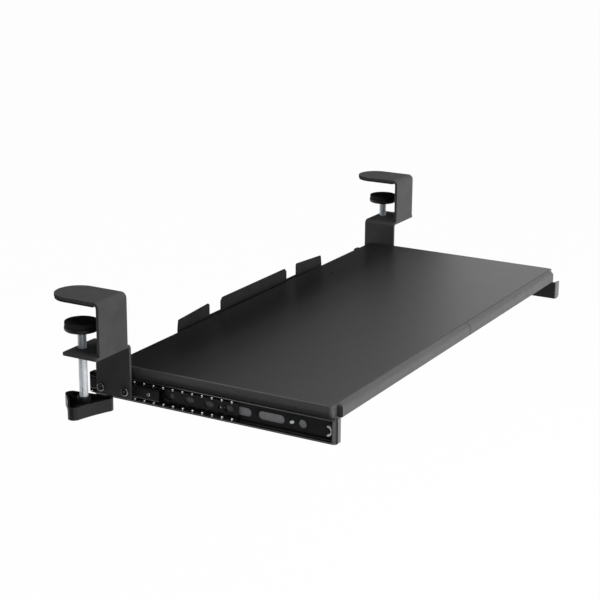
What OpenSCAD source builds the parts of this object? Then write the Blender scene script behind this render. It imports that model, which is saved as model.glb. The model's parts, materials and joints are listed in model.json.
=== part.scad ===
// Clamp-on sliding keyboard tray, shown pulled out.
// X runs along the desk edge, Y back under the desk and Z up.
// The origin is on the desk's front top edge, midway between the two clamps.
// Pieces that come in pairs are drawn on the right and mirrored for the left.

/* [Tray] */
// Width of the tray
tray_w = 650; // [520:10:800]
// Depth of the tray from its rear edge to its front edge
tray_d = 296; // [260:2:360]
// Thickness of the board
tray_t = 16; // [12:0.5:20]
// Plan radius of the board's two front corners
front_corner_r = 3; // [2:1:20]
// Plan radius of the two rear corners
rear_corner_r = 4; // [2:1:10]
// Radius along the board's top edges
edge_r = 1; // [0.5:0.25:2]
// Height from the desk top down to the tray top
tray_drop = 88; // [80:1:110]
// Depth of the front edge strips
trim_d = 7; // [6.5:0.5:12]
// Radius of the strips' front top edge
trim_round_r = 6; // [3:0.5:6.5]
// Radius of the strips' front bottom edge
trim_under_r = 2.5; // [1:0.5:4]
// Place of the joint between the two strips, from the middle
trim_joint_x = 25; // [-120:5:120]
// Gap at that joint
trim_gap = 1; // [0.2:0.1:1.5]
// How far the strips stop short of the board's sides
trim_inset = 13; // [8:1:30]
// Radius of the round on top of the strips' outer ends
trim_end_r = 4.5; // [2:0.5:6]

/* [Rear stop] */
// Sheet thickness of the rear stop
stop_t = 2; // [1.5:0.5:3]
// Width of its middle tab
stop_mid_w = 166; // [120:2:220]
// Width of each side tab
stop_side_w = 71; // [50:1:90]
// Gap between two tabs
stop_gap_w = 28; // [15:1:40]
// Height of the tabs above the tray top
stop_h = 15.5; // [10:0.5:30]
// How much lower the side tabs are at their outer ends
stop_slope = 4; // [0:0.5:6]
// Corner cut of the middle tab
stop_chamfer = 4; // [2:0.5:6]
// Free space between the tray's rear edge and the tabs
stop_standoff = 5; // [2:0.5:10]
// Depth of the flange under the tray
stop_flange_d = 44; // [35:1:70]
// Distance between the two screws of the rear stop
stop_screw_span = 285; // [200:5:340]
// Distance from the tray's rear edge to those screws
stop_screw_inset = 32; // [20:1:32]
// Shank diameter of those screws
stop_screw_d = 5; // [4:0.5:6]
// Head diameter of those screws
stop_screw_head_d = 9; // [8:0.5:12]

/* [Clamp hook] */
// Width of the hook
clamp_w = 53; // [40:1:60]
// Sheet thickness of the hook
hook_t = 4; // [3:0.5:6]
// Inside bend radius of the hook
hook_bend_r = 3; // [1.5:0.5:4]
// Reach of the hook over the desk, from the desk's front face
jaw_depth = 71; // [65:1:90]
// Thickness of the pad under the hook
jaw_pad_t = 2; // [2:0.5:4]
// How far the pad stays inside the hook's outline
jaw_pad_inset = 0.5; // [0.5:0.5:3]
// Thickness of the desk that the clamps hold
desk_t = 25; // [18:1:30]

/* [Clamp bracket] */
// Sheet thickness of the L-shaped bracket
bracket_t = 3.5; // [2.5:0.5:5]
// Depth of the bracket from front to back
bracket_d = 48; // [46:1:60]
// How far the bracket stands in front of the desk's front face
bracket_lead = 3; // [1:0.5:4]
// How far the bracket's plate stands out beyond the hook
bracket_reach = 5.5; // [0:0.5:10]
// Inside bend radius of the bracket
bracket_bend_r = 2.5; // [1.5:0.5:5]
// Plan radius of the bracket's outer corners
bracket_corner_r = 3; // [1:0.5:6]
// Height from the desk top down to the bracket's top
bracket_drop = 57; // [52:1:64]
// Side plate below the line of its bolts
bracket_margin = 9.2; // [7:0.2:15]

/* [Clamp screw] */
// Diameter of the clamp screw
screw_d = 10; // [8:1:10]
// Radial running clearance of the screw in the bracket and the foot
screw_fit = 0.05; // [0.02:0.01:0.1]
// Distance from the desk's front face back to the screw
screw_setback = 35.6; // [27:0.2:39]
// How far the screw stands outside the hook's middle
screw_side = 6.1; // [4:0.1:10]
// Space between the knob's lobes and the bolt heads of the bracket
knob_clear = 0.5; // [0.5:0.1:5]
// Length of screw below the bracket
screw_below = 58; // [50:1:80]
// Diameter of the pressure foot
foot_d = 40; // [28:1:44]
// Thickness of the pressure foot
foot_t = 5; // [4:0.5:7]
// Thickness of the rubber on the foot
foot_pad_t = 6; // [3:0.5:8]
// Reach of the knob's three lobes from its axis
knob_r = 33; // [30:0.5:38]
// Radius of each lobe
knob_lobe_r = 7.6; // [6:0.2:9]
// Distance from the axis to the middle of a hollow side
knob_waist = 19; // [17:0.5:19.5]
// Height of the knob
knob_h = 15; // [12:0.5:20]
// Wall of the knob
knob_wall = 2.5; // [1.5:0.25:3]
// Diameter of the knob's hub
knob_hub_d = 17; // [14:0.5:20]
// Direction of the first lobe
knob_turn = 109; // [0:1:119]

/* [Slide] */
// Height of the slide
slide_h = 27; // [25:0.5:35]
// Sheet thickness of the slide's members
slide_t = 1.2; // [1:0.1:1.4]
// Depth of the outer channel
channel_d = 7.2; // [7:0.1:9]
// Length of the outer channel
channel_len = 323; // [300:1:340]
// How far the channel stays behind the tray's front edge
channel_inset = 1.6; // [0.6:0.2:6]
// Gap between the tray's side and the channel
channel_gap = 0.4; // [0.2:0.1:1]
// Height from the tray top down to the slide's middle
slide_drop = 26.3; // [26:0.1:32]
// Length of the short inner member
inner_len = 97; // [85:1:110]
// How far the inner member reaches in front of its two bolts' middle
inner_lead = 61.1; // [50:0.1:75]
// How far the inner member stands proud of the channel
inner_proud = 1.9; // [1.7:0.1:2.5]
// Diameter of the bearing balls
ball_d = 3.6; // [2.8:0.1:3.8]
// Distance from ball to ball
ball_pitch = 13.17; // [11:0.01:13.2]
// Balls in one row
ball_count = 15; // [10:1:15]
// Free play between the balls and the two members
race_gap = 0.35; // [0.3:0.05:0.4]
// Length of the bumper at the channel's front
bumper_len = 6.2; // [4:0.2:9]
// Play left at both ends of the travel
end_play = 0.5; // [0.3:0.1:2]
// Length of the long slots in the channel
slot_len = 33.5; // [24:0.5:36]
// Height of those slots
slot_h = 10.2; // [6:0.2:12]
// Distance from slot to slot
slot_pitch = 42.5; // [40:0.5:46]
// Diameter of the round hole in the channel
channel_hole_d = 10; // [6:0.5:12]

/* [Hangers and fasteners] */
// Sheet thickness of the hangers between the tray and the slides
hanger_t = 1.5; // [1.5:0.25:2.5]
// Width of the hanger's flange under the tray
hanger_flange_w = 26; // [22:1:40]
// Height of the hanger from the tray's underside
hanger_h = 27.5; // [24:0.5:36]
// Width of the left hanger's front end, bent inwards
hanger_front_w = 12; // [8:0.5:15]
// Width of the right hanger's front end, bent outwards before the channel
hanger_cover_w = 11.5; // [9:0.5:14]
// Length of the notch in the right channel's upper front corner
channel_notch = 7; // [2:0.5:12]
// Inside bend radius of the hanger
hanger_bend_r = 2.5; // [1:0.25:3]
// Screws along each hanger
hanger_screw_count = 4; // [2:1:5]
// Shank diameter of the hanger screws
hanger_screw_d = 4; // [3:0.5:5]
// Length of the hanger screws in the board
hanger_screw_len = 10; // [7:0.5:11]
// Distance between the two bolts of a side plate
bolt_span = 34; // [25:1:34]
// How far those bolts sit below the slide's middle
bolt_drop = 1.2; // [0:0.2:2]
// Shank diameter of those bolts
bolt_d = 5; // [4:0.5:6]
// Head diameter of those bolts
bolt_head_d = 10; // [8:0.5:11]
// Head height of those bolts
bolt_head_h = 2.6; // [2:0.2:2.6]
// Diameter of the rivets
rivet_d = 3.2; // [2.8:0.2:4]

/* [Hidden] */
$fn = 64;
eps = 0.01;
through = 200;

// Clearance of fasteners in the holes of their own pieces
hole_fit = 0.1;
// Clearance between parts that slide past each other
slide_fit = 0.3;

// Heights
tray_top = -tray_drop;
tray_bottom = tray_top - tray_t;
slide_z = tray_top - slide_drop;
hook_bottom = jaw_pad_t;
hook_top = hook_bottom + hook_t;
bracket_top = -bracket_drop;
bracket_under = bracket_top - bracket_t;
bracket_bottom = slide_z - bracket_margin;
foot_top = -desk_t - foot_pad_t;
foot_bottom = foot_top - foot_t;
foot_socket = foot_t * 0.7;
knob_top = bracket_under - screw_below;
knob_bottom = knob_top - knob_h;
hanger_bottom = tray_bottom - hanger_h;
hanger_wall_top = tray_bottom - hanger_bend_r - hanger_t;

// Places along Y
bracket_front = -bracket_lead;
bracket_rear = bracket_front + bracket_d;
bolt_mid = (bracket_front + bracket_rear) / 2;
inner_front = bolt_mid - inner_lead;
inner_rear = inner_front + inner_len;
channel_rear = inner_rear + end_play + slide_t;
channel_front = channel_rear - channel_len;
tray_front = channel_front - channel_inset;
board_front = tray_front + trim_d;
tray_rear = tray_front + tray_d;
bumper_rear = channel_front + slide_t + bumper_len;
travel = inner_front - bumper_rear - 2 * end_play;
cage_setback = 5;
cage_front = inner_front + cage_setback - travel / 2;
cage_end = 6.4;
// Balls of a row that clear the tab at the channel's rear
row_len = channel_rear - slide_t - race_gap - ball_d / 2 - cage_front - cage_end;
balls_in_row = min(ball_count, floor(row_len / ball_pitch) + 1);
cage_len = (balls_in_row - 1) * ball_pitch + 2 * cage_end;
stop_front = tray_rear + stop_standoff;
hanger_end_r = 4;
flange_rear = min(tray_rear, channel_rear) - hanger_end_r;

// Places along X, counted outwards from the middle on the right
side_x = tray_w / 2;
web_x = side_x + channel_gap;
web_face = web_x + slide_t;
lip_x = web_x + channel_d;
plate_x = lip_x + inner_proud;
plate_face = plate_x + bracket_t;
screw_x = plate_face + bolt_head_h + knob_clear + knob_r;
clamp_x = screw_x - screw_side;
clamp_outer = clamp_x + clamp_w / 2;
bracket_outer = clamp_outer + bracket_reach;
hanger_screw_x = web_x - hanger_flange_w / 2 - hanger_t / 2;

// Cross-section of the slide, counted from its middle height
race_out = slide_h / 2 - slide_t;
lip_reach = 0.25;
ball_z = race_out - race_gap - ball_d / 2;
inner_half = ball_z - ball_d / 2 - race_gap;
cage_t = 0.7;
cage_play = 0.6;
cage_x = web_face + cage_play;
cage_flange_w = 6.4;
ball_x = cage_x + cage_flange_w - 2.3;
ball_play = 0.15;
inner_x = cage_x + cage_t + slide_fit + 0.4;
channel_corner_r = 2;
end_tab_half = race_out - lip_reach - slide_fit;

// Shapes

module rounded_rect(w, h, r) {
  translate([r, 0]) square([w - 2 * r, h]);
  translate([0, r]) square([w, h - 2 * r]);
  for (x = [r, w - r], y = [r, h - r])
    translate([x, y]) circle(r);
}

module stadium(length, height) {
  square([length - height, height], center = true);
  for (end = [-1, 1])
    translate([end * (length - height) / 2, 0]) circle(height / 2);
}

module mirrored() {
  mirror([1, 0, 0]) children();
}

// Draws an X-Z outline from y_front to y_rear
module along_y(y_front, y_rear) {
  translate([0, y_rear, 0])
    rotate([90, 0, 0])
      linear_extrude(y_rear - y_front)
        children();
}

// Draws a Y-Z outline from x_low to x_high
module along_x(x_low, x_high) {
  translate([x_low, 0, 0])
    rotate([90, 0, 90])
      linear_extrude(x_high - x_low)
        children();
}

// A round piece along X, from x_low to x_high
module rod_x(x_low, x_high, d) {
  translate([x_low, 0, 0])
    rotate([0, 90, 0])
      cylinder(d = d, h = x_high - x_low);
}

// A flat button head that stands out along +X from x = 0
module button_head(d, h) {
  crown = h * 0.45;
  rotate([0, 90, 0])
    rotate_extrude() {
      square([d / 2, h - crown]);
      square([d / 2 - crown, h]);
      intersection() {
        translate([d / 2 - crown, h - crown]) circle(crown);
        square([d / 2, h]);
      }
    }
}

// Tray

// Half outline of the board's edge: reach out from a corner's middle, rounded on top
module edge_outline(reach) {
  translate([0, tray_bottom]) square([reach, tray_t - edge_r]);
  translate([0, tray_bottom]) square([reach - edge_r, tray_t]);
  translate([reach - edge_r, tray_top - edge_r]) circle(edge_r);
}

module corner_puck(x, y, r) {
  translate([x, y, 0]) rotate_extrude() edge_outline(r);
}

// The board with its rounded edges, square in front where the edge strips sit
module tray_slab() {
  y_mid = (board_front + tray_rear) / 2;
  along_y(board_front + front_corner_r, tray_rear - rear_corner_r)
    for (side = [0, 1])
      mirror([side, 0]) edge_outline(side_x);
  along_x(-side_x + front_corner_r, side_x - front_corner_r)
    translate([board_front, tray_bottom]) square([y_mid - board_front, tray_t]);
  along_x(-side_x + rear_corner_r, side_x - rear_corner_r)
    translate([y_mid, 0]) edge_outline(tray_rear - y_mid);
  for (end = [-1, 1]) {
    corner_puck(end * (side_x - front_corner_r), board_front + front_corner_r, front_corner_r);
    corner_puck(end * (side_x - rear_corner_r), tray_rear - rear_corner_r, rear_corner_r);
  }
}

function hanger_screw_y(i) =
  let (margin = 25, first = channel_front + margin, last = flange_rear - margin)
  first + i * (last - first) / (hanger_screw_count - 1);

stop_screw_y = tray_rear - stop_screw_inset;
stop_head_h = (stop_screw_head_d - stop_screw_d) / 2;

module tray_board() {
  color("#2a2a2c")
    difference() {
      tray_slab();
      for (end = [-1, 1]) {
        for (i = [0 : hanger_screw_count - 1])
          translate([end * hanger_screw_x, hanger_screw_y(i), tray_bottom - eps])
            cylinder(d = hanger_screw_d + hole_fit, h = hanger_screw_len + slide_fit);
        translate([end * stop_screw_span / 2, stop_screw_y, tray_bottom - eps])
          cylinder(d = stop_screw_d + hole_fit, h = tray_t + 1);
        translate([end * stop_screw_span / 2, stop_screw_y, tray_top - stop_head_h])
          cylinder(d1 = stop_screw_d, d2 = stop_screw_head_d + 2 * eps, h = stop_head_h + eps);
      }
    }
}

trim_end = side_x - trim_inset;

// The strip's outline in Y and Z, with a full round on top and a small one below
module trim_outline() {
  intersection() {
    translate([tray_front, tray_bottom]) square([trim_d, tray_t]);
    union() {
      translate([tray_front + trim_round_r, tray_bottom]) square([trim_d, tray_t]);
      translate([tray_front, tray_bottom + trim_under_r])
        square([trim_d, tray_t - trim_round_r - trim_under_r]);
      translate([tray_front + trim_under_r, tray_bottom]) square([trim_d, tray_t / 2]);
      translate([tray_front + trim_round_r, tray_top - trim_round_r]) circle(trim_round_r);
      translate([tray_front + trim_under_r, tray_bottom + trim_under_r]) circle(trim_under_r);
    }
  }
}

// The strips' front view in X and Z, round on top of both outer ends
module trim_face() {
  translate([-trim_end, tray_bottom]) square([2 * trim_end, tray_t - trim_end_r]);
  translate([trim_end_r - trim_end, tray_bottom]) square([2 * (trim_end - trim_end_r), tray_t]);
  for (end = [-1, 1])
    translate([end * (trim_end - trim_end_r), tray_top - trim_end_r]) circle(trim_end_r);
}

// Length of strip between two places along X
module trim_length(from, to) {
  intersection() {
    along_x(from, to) trim_outline();
    along_y(tray_front - 1, board_front + 1) trim_face();
  }
}

module front_trim_left() {
  color("#3b3b3d") trim_length(-trim_end, trim_joint_x - trim_gap / 2);
}

module front_trim_right() {
  color("#3b3b3d") trim_length(trim_joint_x + trim_gap / 2, trim_end);
}

// Upright face of the rear stop: three tabs on one web, in X and Z
module stop_face() {
  half = stop_mid_w / 2;
  side_in = half + stop_gap_w;
  side_out = side_in + stop_side_w;
  lean = 2;
  base = tray_bottom - stop_t;
  crown = tray_top + stop_h;
  translate([-side_out, base]) square([2 * side_out, tray_t + stop_t]);
  polygon([
    [-half, tray_top - 1], [half, tray_top - 1], [half, crown - stop_chamfer],
    [half - stop_chamfer, crown], [stop_chamfer - half, crown], [-half, crown - stop_chamfer]
  ]);
  for (side = [0, 1])
    mirror([side, 0])
      polygon([
        [side_in, tray_top - 1], [side_out, tray_top - 1], [side_out, tray_top],
        [side_out - lean, crown - stop_slope], [side_in + lean, crown], [side_in, crown - lean]
      ]);
}

module rear_stop() {
  half = stop_mid_w / 2 + stop_gap_w + stop_side_w;
  color("#343436")
    difference() {
      union() {
        along_y(stop_front, stop_front + stop_t) stop_face();
        translate([-half, tray_rear - stop_flange_d, tray_bottom - stop_t])
          cube([2 * half, stop_flange_d + stop_standoff + eps, stop_t]);
      }
      for (end = [-1, 1])
        translate([end * stop_screw_span / 2, stop_screw_y, tray_bottom - stop_t - eps])
          cylinder(d = stop_screw_d + hole_fit, h = stop_t + 1);
    }
}

module rear_stop_screws() {
  nut_h = 3;
  color("#252527")
    for (end = [-1, 1])
      translate([end * stop_screw_span / 2, stop_screw_y, 0])
        difference() {
          union() {
            translate([0, 0, tray_bottom - stop_t - nut_h])
              cylinder(d = stop_screw_d, h = tray_t + stop_t + nut_h - eps);
            translate([0, 0, tray_top - stop_head_h])
              cylinder(d1 = stop_screw_d, d2 = stop_screw_head_d, h = stop_head_h);
            translate([0, 0, tray_bottom - stop_t - nut_h])
              cylinder(d = stop_screw_d * 1.8, h = nut_h, $fn = 6);
          }
          translate([0, 0, tray_top - stop_head_h * 0.7])
            cylinder(d = stop_screw_d * 0.7, h = stop_head_h, $fn = 6);
        }
}

// Clamps

// Side view of the hook in Y and Z: strap, bend and the start of the plate
module hook_outline(plate_end) {
  outer_r = hook_bend_r + hook_t;
  bend_z = hook_bottom - hook_bend_r;
  translate([-hook_t, bracket_top]) square([hook_t, bend_z - bracket_top]);
  translate([hook_bend_r, hook_bottom]) square([plate_end - hook_bend_r, hook_t]);
  intersection() {
    translate([hook_bend_r, bend_z])
      difference() {
        circle(outer_r);
        circle(hook_bend_r);
      }
    translate([-hook_t, bend_z]) square([outer_r, outer_r]);
  }
}

module clamp_hook() {
  round_y = jaw_depth - clamp_w / 2;
  color("#3a3a3c")
    union() {
      along_x(clamp_x - clamp_w / 2, clamp_x + clamp_w / 2) hook_outline(round_y);
      translate([clamp_x, round_y, hook_bottom]) cylinder(d = clamp_w, h = hook_t);
    }
}

module jaw_pad() {
  w = clamp_w - 2 * jaw_pad_inset;
  round_y = jaw_depth - clamp_w / 2;
  pad_front = hook_bend_r + 1;
  color("#202020")
    union() {
      translate([clamp_x - w / 2, pad_front, 0]) cube([w, round_y - pad_front, jaw_pad_t]);
      translate([clamp_x, round_y, 0]) cylinder(d = w, h = jaw_pad_t);
    }
}

// End view of the bracket in X and Z
module bracket_outline() {
  outer_r = bracket_bend_r + bracket_t;
  bend_x = plate_x + outer_r;
  bend_z = bracket_top - outer_r;
  translate([bend_x, bracket_under]) square([bracket_outer - bend_x, bracket_t]);
  translate([plate_x, bracket_bottom]) square([bracket_t, bend_z - bracket_bottom]);
  intersection() {
    translate([bend_x, bend_z])
      difference() {
        circle(outer_r);
        circle(bracket_bend_r);
      }
    translate([plate_x, bend_z]) square([outer_r, outer_r]);
  }
}

module at_bolts() {
  for (end = [-1, 1])
    translate([0, bolt_mid + end * bolt_span / 2, slide_z - bolt_drop]) children();
}

module bracket() {
  color("#303032")
    difference() {
      intersection() {
        along_y(bracket_front, bracket_rear) bracket_outline();
        translate([plate_x - through, bracket_front, bracket_bottom - 1])
          linear_extrude(through)
            rounded_rect(bracket_outer - plate_x + through, bracket_d, bracket_corner_r);
      }
      translate([screw_x, screw_setback, bracket_under - 1])
        cylinder(d = screw_d + 2 * screw_fit, h = bracket_t + 2);
      at_bolts() rod_x(plate_x - 1, plate_face + 1, bolt_d + hole_fit);
    }
}

module slide_bolts() {
  socket_d = bolt_d * 0.66;
  color("#1c1c1e")
    at_bolts()
      difference() {
        union() {
          rod_x(nut_end, plate_face, bolt_d);
          translate([plate_face, 0, 0]) button_head(bolt_head_d, bolt_head_h);
        }
        translate([plate_face + bolt_head_h * 0.3, 0, 0])
          rotate([0, 90, 0]) cylinder(d = socket_d, h = bolt_head_h, $fn = 6);
      }
}

inner_web = plate_x - slide_t;
nut_h = 2.4;
nut_end = inner_web - nut_h;

module slide_nuts() {
  color("#8d8f92")
    at_bolts()
      difference() {
        translate([nut_end, 0, 0])
          rotate([0, 90, 0]) cylinder(d = bolt_d * 1.75, h = nut_h, $fn = 6);
        rod_x(nut_end - 1, inner_web + 1, bolt_d + hole_fit);
      }
}

module pressure_foot() {
  bevel = 1.5;
  color("#1f1f21")
    translate([screw_x, screw_setback, 0])
      difference() {
        union() {
          translate([0, 0, foot_bottom + bevel]) cylinder(d = foot_d, h = foot_t - bevel);
          translate([0, 0, foot_bottom])
            cylinder(d1 = foot_d - 2 * bevel, d2 = foot_d, h = bevel);
        }
        translate([0, 0, foot_bottom - eps])
          cylinder(d = screw_d + 2 * screw_fit, h = foot_socket + eps);
      }
}

module foot_pad() {
  color("#181818")
    translate([screw_x, screw_setback, foot_top]) cylinder(d = foot_d - 1, h = foot_pad_t);
}

knob_floor = 3;
screw_end = knob_bottom + knob_floor;

module clamp_screw() {
  tip = foot_bottom + foot_socket - slide_fit;
  bevel = 1;
  color("#c9ccd0")
    translate([screw_x, screw_setback, 0])
      union() {
        translate([0, 0, screw_end]) cylinder(d = screw_d, h = tip - bevel - screw_end);
        translate([0, 0, tip - bevel]) cylinder(d1 = screw_d, d2 = screw_d - 2 * bevel, h = bevel);
      }
}

// Plan of the knob: three round lobes joined by hollow sides, drawn in by inset
module knob_outline(inset) {
  lobe = knob_lobe_r - inset;
  reach = knob_r - knob_lobe_r;
  mid = reach * cos(60);
  half_side = reach * sin(60);
  sink = knob_lobe_r + mid - knob_waist;
  touching_r = (pow(knob_waist - mid, 2) + pow(half_side, 2) - pow(knob_lobe_r, 2)) / (2 * sink);
  hollow_r = 1.1 * touching_r;
  turns = [0, 120, 240];
  difference() {
    union() {
      for (a = turns)
        translate(reach * [cos(a), sin(a)]) circle(lobe);
      polygon([
        for (a = turns, side = [-60, 60])
          reach * [cos(a), sin(a)] + 0.95 * lobe * [cos(a + side), sin(a + side)]
      ]);
    }
    for (a = turns)
      rotate(a + 60) translate([knob_waist + hollow_r, 0]) circle(hollow_r + inset);
  }
}

module screw_knob() {
  rib = 2;
  hub_top = knob_h - 1;
  rib_top = knob_h - 3;
  color("#242426")
    translate([screw_x, screw_setback, knob_bottom])
      rotate(knob_turn)
        difference() {
          union() {
            difference() {
              linear_extrude(knob_h) knob_outline(0);
              translate([0, 0, knob_floor]) linear_extrude(knob_h) knob_outline(knob_wall);
            }
            cylinder(d = knob_hub_d, h = hub_top);
            intersection() {
              linear_extrude(rib_top) knob_outline(knob_wall / 2);
              for (a = [0, 120, 240])
                rotate(a) translate([0, -rib / 2, 0]) cube([knob_r, rib, rib_top]);
            }
          }
          translate([0, 0, knob_floor]) cylinder(d = screw_d + hole_fit, h = knob_h);
        }
}

// Slides

// Outline of the outer channel in X and Z, open outwards
module channel_outline() {
  translate([0, slide_z])
    difference() {
      translate([web_x, -slide_h / 2]) rounded_rect(channel_d, slide_h, channel_corner_r);
      translate([web_face, -race_out])
        rounded_rect(channel_d - 2 * slide_t, 2 * race_out, channel_corner_r - slide_t);
      translate([lip_x - slide_t - 1, -race_out]) square([1 + eps, 2 * race_out]);
      translate([lip_x - slide_t - eps, -(race_out - lip_reach)])
        square([slide_t + 1, 2 * (race_out - lip_reach)]);
    }
}

// A Y-Z outline of the slide's length with rounded rear corners
module slide_side(y_front, y_rear, z_low, z_high, r) {
  difference() {
    translate([y_front, z_low]) square([y_rear - y_front, z_high - z_low]);
    for (z = [z_low, z_high])
      translate([y_rear, z]) square(2 * r, center = true);
  }
  for (z = [z_low + r, z_high - r])
    translate([y_rear - r, z]) circle(r);
}

slot_first = 79.65;
hole_place = 40.2;
front_rivet = 53.4;
rear_rivet = 22;

// Long slots and one short slot, counted in slot pitches from the first
slot_steps = [0, 1, 1.85, 2.78, 3.78];
short_slot = 2;

function slot_y(i) = channel_front + slot_first + slot_steps[i] * slot_pitch;
function rivet_y(i) =
  [channel_front + front_rivet, channel_front + slot_first + 1.5 * slot_pitch,
    channel_front + slot_first + 4.3 * slot_pitch, channel_rear - rear_rivet][i];

module at_rivets() {
  for (i = [0 : 3])
    translate([0, rivet_y(i), slide_z]) children();
}

module slide_channel(notch = 0) {
  rear_r = 4;
  color("#17171a")
    difference() {
      union() {
        intersection() {
          along_y(channel_front, channel_rear) channel_outline();
          along_x(web_x - 1, lip_x + 1)
            slide_side(channel_front, channel_rear, slide_z - slide_h / 2, slide_z + slide_h / 2, rear_r);
        }
        for (y = [channel_front, channel_rear - slide_t])
          translate([web_face - eps, y, slide_z - end_tab_half])
            cube([channel_d - slide_t, slide_t, 2 * end_tab_half]);
      }
      for (i = [0 : len(slot_steps) - 1])
        translate([0, slot_y(i), slide_z])
          along_x(web_x - 1, web_face + 1) stadium(i == short_slot ? slot_len * 0.6 : slot_len, slot_h);
      translate([0, channel_front + hole_place, slide_z])
        rod_x(web_x - 1, web_face + 1, channel_hole_d);
      at_rivets() rod_x(web_x - 1, web_face + 1, rivet_d + hole_fit);
      if (notch > 0)
        translate([web_x - 1, channel_front - 1, hanger_wall_top])
          cube([channel_d + 2, notch + 1, slide_h]);
    }
}

// Bumper at the channel's front: a soft bow with its two ends towards the rear
module slide_bumper() {
  bow_r = bumper_len - 0.2;
  bow_t = 1.7;
  seat = 3;
  color("#c9cac6")
    translate([0, channel_front + slide_t, slide_z])
      along_x(web_face, lip_x - 1.4) {
        intersection() {
          translate([bow_r, 0])
            difference() {
              circle(bow_r);
              circle(bow_r - bow_t);
            }
          translate([0, -bow_r]) square([bow_r, 2 * bow_r]);
        }
        for (end = [-1, 1])
          translate([bow_r - eps, end * (bow_r - bow_t / 2) - bow_t / 2])
            square([bumper_len - bow_r + eps, bow_t]);
        translate([0, -seat]) square([bow_t / 2, 2 * seat]);
      }
}

module channel_rivets() {
  head_h = 1.4;
  color("#6f7174")
    at_rivets() {
      rod_x(web_x - hanger_t, web_face + cage_play / 4, rivet_d);
      translate([web_x - hanger_t, 0, 0]) mirrored() button_head(rivet_d * 1.9, head_h);
      rotate([-25, 0, 0]) along_x(web_face, web_face + cage_play / 2) stadium(5.6, rivet_d + 0.4);
    }
}

function ball_y(i) = cage_front + cage_end + i * ball_pitch;

module ball_cage() {
  window_w = 13;
  window_h = 8;
  sight_d = 4.4;
  row = cage_t / 2;
  color("#4a4b4e")
    difference() {
      union() {
        translate([cage_x, cage_front, slide_z - ball_z - row])
          cube([cage_t, cage_len, 2 * ball_z + cage_t]);
        for (end = [-1, 1])
          translate([cage_x, cage_front, slide_z + end * ball_z - row])
            cube([cage_flange_w, cage_len, cage_t]);
      }
      for (i = [0 : balls_in_row - 1], end = [-1, 1])
        translate([ball_x, ball_y(i), slide_z + end * ball_z - 1])
          cylinder(d = ball_d + 2 * ball_play, h = 2);
      for (i = [0 : 2 : balls_in_row - 2])
        translate([0, ball_y(i) + ball_pitch / 2, slide_z])
          along_x(cage_x - 1, cage_x + cage_t + 1) stadium(window_w, window_h);
      translate([0, ball_y(1.42), slide_z]) rod_x(cage_x - 1, cage_x + cage_t + 1, sight_d);
    }
}

module balls() {
  color("#e4e6e8")
    for (i = [0 : balls_in_row - 1], end = [-1, 1])
      translate([ball_x, ball_y(i), slide_z + end * ball_z]) sphere(d = ball_d);
}

// Outline of the inner member in X and Z, open towards the tray
module inner_outline() {
  corner = 2.5;
  translate([0, slide_z])
    difference() {
      translate([inner_x, -inner_half]) square([plate_x - inner_x, 2 * inner_half]);
      translate([inner_x - 1, slide_t - inner_half])
        square([inner_web - inner_x + 1, 2 * (inner_half - slide_t)]);
      for (end = [-1, 1])
        translate([plate_x, end * inner_half]) square(2 * corner, center = true);
    }
  for (end = [-1, 1])
    translate([plate_x - corner, slide_z + end * (inner_half - corner)])
      intersection() {
        circle(corner);
        translate([0, end > 0 ? 0 : -corner]) square(corner);
      }
}

inner_rivet_place = 14;
inner_rivet_y = inner_front + inner_rivet_place;

module slide_inner() {
  color("#1b1b1e")
    difference() {
      along_y(inner_front, inner_rear) inner_outline();
      at_bolts() rod_x(inner_web - 1, plate_x + 1, bolt_d + hole_fit);
      translate([0, inner_rivet_y, slide_z]) rod_x(inner_web - 1, plate_x + 1, rivet_d + hole_fit);
    }
}

module inner_rivet() {
  head_h = 0.8;
  color("#9a9c9f")
    translate([0, inner_rivet_y, slide_z]) {
      rod_x(inner_web - head_h, plate_x, rivet_d);
      translate([inner_web, 0, 0]) mirrored() rod_x(0, head_h, rivet_d * 1.6);
      translate([plate_x, 0, 0]) button_head(rivet_d * 1.3, head_h);
    }
}

// End view of the hanger in X and Z: flange under the tray and upright wall
module hanger_outline() {
  outer_r = hanger_bend_r + hanger_t;
  wall_x = web_x - hanger_t;
  bend_x = web_x - outer_r;
  bend_z = tray_bottom - outer_r;
  translate([web_x - hanger_flange_w, tray_bottom - hanger_t])
    square([hanger_flange_w - outer_r, hanger_t]);
  translate([wall_x, hanger_bottom]) square([hanger_t, bend_z - hanger_bottom]);
  intersection() {
    translate([bend_x, bend_z])
      difference() {
        circle(outer_r);
        circle(hanger_bend_r);
      }
    translate([bend_x, bend_z]) square(outer_r);
  }
}

// Left hanger's front end, the upright wall bent inwards
module hanger_front_in() {
  outer_r = hanger_bend_r + hanger_t;
  bend_x = web_x - outer_r;
  translate([0, 0, hanger_bottom])
    linear_extrude(hanger_h) {
      translate([web_x - hanger_front_w, channel_front]) square([hanger_front_w - outer_r, hanger_t]);
      intersection() {
        translate([bend_x, channel_front + outer_r])
          difference() {
            circle(outer_r);
            circle(hanger_bend_r);
          }
        translate([bend_x, channel_front]) square(outer_r);
      }
    }
}

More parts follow.
